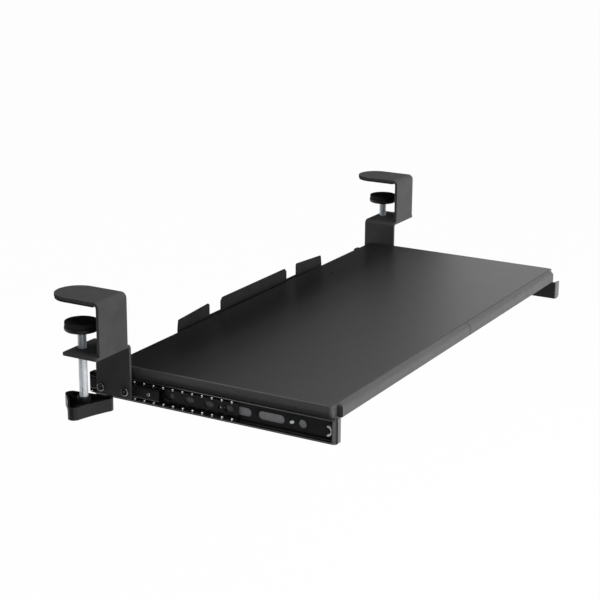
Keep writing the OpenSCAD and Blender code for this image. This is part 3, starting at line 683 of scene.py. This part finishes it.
def make_strip(node, joint):
    """A length of the front edge, flush with the board and eased at the butt joint."""
    strip = clean_copy(node)
    bm = bmesh.new()
    bm.from_mesh(strip.data)

    def on_plane(e, axis, value):
        return all(abs(v.co[axis] - value) < ON_PLANE for v in e.verts)

    def bevel(chosen, width):
        edges = [e for e in bm.edges if chosen(e) and not on_plane(e, 1, FRONT)]
        bmesh.ops.bevel(bm, geom=edges, offset=width, segments=3, profile=0.5, affect="EDGES", clamp_overlap=True)

    bevel(lambda e: e.calc_face_angle(0) > math.radians(EASED_FROM) and not on_plane(e, 0, joint), STRIP_EASE)
    bevel(lambda e: on_plane(e, 0, joint), JOINT_EASE)
    keep_hard_edges(bm)
    bm.to_mesh(strip.data)
    bm.free()
    even_normals(strip)
    settle(strip)
    dress(strip, node)


make_strip("front_trim_left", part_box("front_trim_left")[1].x)
make_strip("front_trim_right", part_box("front_trim_right")[0].x)


# Stage

FLOOR_Z, FLOOR_SIZE, FLOOR_GREY = -0.72, 60, 0.86
FLOOR_WHITE = 0.975         # of plain white in the floor as it is seen. The rest takes the object's shadow
AMBIENT, AMBIENT_TINT = 0.36, (0.97, 0.985, 1.0)
AIM = (0, -0.1, -0.08)
# The camera was solved from the photograph
LENS, SENSOR = 95.18, 36.0
CAMERA_PLACE = (-1.7315, -1.0207, 0.5078)
CAMERA_RIGHT = Vector((0.49677181, -0.86785896, 0.00621267))
CAMERA_FORWARD = Vector((0.83262753, 0.47456101, -0.28552276))


def seen_rays(tree):
    """1 for rays that show the background: camera, glossy and transmission rays."""
    path = tree.nodes.new("ShaderNodeLightPath")
    value = path.outputs["Is Camera Ray"]
    for name in ("Is Glossy Ray", "Is Transmission Ray"):
        m = tree.nodes.new("ShaderNodeMath")
        m.operation = "MAXIMUM"
        tree.links.new(value, m.inputs[0])
        tree.links.new(path.outputs[name], m.inputs[1])
        value = m.outputs["Value"]
    return value


def coloured(tree, kind, colour):
    node = tree.nodes.new(kind)
    node.inputs["Color"].default_value = (*colour, 1)
    return node


def show(tree, output, share, unseen, seen):
    """Gives output the shader unseen, with share of the shader seen."""
    mix = tree.nodes.new("ShaderNodeMixShader")
    tree.links.new(share, mix.inputs["Fac"])
    tree.links.new(unseen.outputs[0], mix.inputs[1])
    tree.links.new(seen.outputs[0], mix.inputs[2])
    tree.links.new(mix.outputs["Shader"], tree.nodes.new(output).inputs["Surface"])


def make_world():
    world = bpy.data.worlds.new("studio")
    bpy.context.scene.world = world
    tree = fresh_tree(world)
    light = coloured(tree, "ShaderNodeBackground", AMBIENT_TINT)
    light.inputs["Strength"].default_value = AMBIENT
    white = coloured(tree, "ShaderNodeBackground", (1, 1, 1))
    show(tree, "ShaderNodeOutputWorld", seen_rays(tree), light, white)


def make_floor():
    bpy.ops.mesh.primitive_plane_add(size=FLOOR_SIZE, location=(0, 0, FLOOR_Z))
    floor = bpy.context.object
    floor.name = "floor"
    m = bpy.data.materials.new("floor")
    tree = fresh_tree(m)
    matt = coloured(tree, "ShaderNodeBsdfDiffuse", (FLOOR_GREY, FLOOR_GREY, FLOOR_GREY))
    glow = coloured(tree, "ShaderNodeEmission", (1, 1, 1))
    share = tree.nodes.new("ShaderNodeMath")
    share.operation = "MULTIPLY"
    share.inputs[1].default_value = FLOOR_WHITE
    tree.links.new(seen_rays(tree), share.inputs[0])
    show(tree, "ShaderNodeOutputMaterial", share.outputs["Value"], matt, glow)
    floor.data.materials.append(m)


def flag(name, corners, glow=0.01):
    """A dark card that shows only in reflections, as a studio hangs beside dark gloss."""
    mesh = bpy.data.meshes.new(name)
    mesh.from_pydata(corners, [], [tuple(range(len(corners)))])
    card = bpy.data.objects.new(name, mesh)
    bpy.context.scene.collection.objects.link(card)
    m = bpy.data.materials.new(name)
    tree = fresh_tree(m)
    dim = tree.nodes.new("ShaderNodeEmission")
    dim.inputs["Strength"].default_value = glow
    tree.links.new(dim.outputs["Emission"], tree.nodes.new("ShaderNodeOutputMaterial").inputs["Surface"])
    mesh.materials.append(m)
    card.visible_camera = False
    card.visible_diffuse = False
    card.visible_transmission = False
    card.visible_shadow = False
    card.visible_volume_scatter = False


def softbox(name, place, aim, size, watts, mirrored):
    """A soft lamp, which reflections show only if mirrored."""
    data = bpy.data.lights.new(name, "AREA")
    data.shape = "RECTANGLE"
    data.size, data.size_y = size
    data.energy = watts
    lamp = bpy.data.objects.new(name, data)
    bpy.context.scene.collection.objects.link(lamp)
    lamp.visible_glossy = mirrored
    lamp.location = place
    lamp.rotation_euler = (Vector(aim) - Vector(place)).to_track_quat("-Z", "Y").to_euler()


def make_camera():
    data = bpy.data.cameras.new("camera")
    data.lens = LENS
    data.sensor_width = SENSOR
    data.sensor_fit = "HORIZONTAL"
    data.clip_end = 200
    cam = bpy.data.objects.new("camera", data)
    bpy.context.scene.collection.objects.link(cam)
    up = CAMERA_RIGHT.cross(CAMERA_FORWARD)
    m = Matrix((CAMERA_RIGHT, up, -CAMERA_FORWARD)).transposed().to_4x4()
    m.translation = CAMERA_PLACE
    cam.matrix_world = m
    bpy.context.scene.camera = cam


make_world()
make_floor()
softbox("key", (0.3, -2.4, 0.6), AIM, (2.0, 1.2), 80, mirrored=False)
softbox("fill", (1.5, -1.3, 0.1), (0.37, 0, -0.05), (0.6, 0.6), 13, mirrored=False)
softbox("edge", (-0.65, 1.05, 1.7), AIM, (0.65, 0.65), 11, mirrored=True)
flag("flag_above", [(-1.4, 0.0, -0.025), (0.58, 0.0, -0.025), (0.58, 0.8, -0.025), (-1.4, 0.8, -0.025)])
flag("flag_back", [(-1.4, 0.35, -0.02), (1.3, 0.35, -0.02), (1.3, 0.35, 0.5), (-1.4, 0.35, 0.5)], glow=0.22)
flag("flag_front", [(-1.6, -1.3, -0.1), (1.6, -1.3, -0.1), (1.6, -1.3, 1.1), (-1.6, -1.3, 1.1)], glow=0.36)
flag("flag_left", [(-1.5, -0.5, -0.7), (-1.5, 2.0, -0.7), (-1.5, 2.0, 0.2), (-1.5, -0.5, 0.2)])
make_camera()

scene = bpy.context.scene
scene.view_settings.view_transform = "Standard"
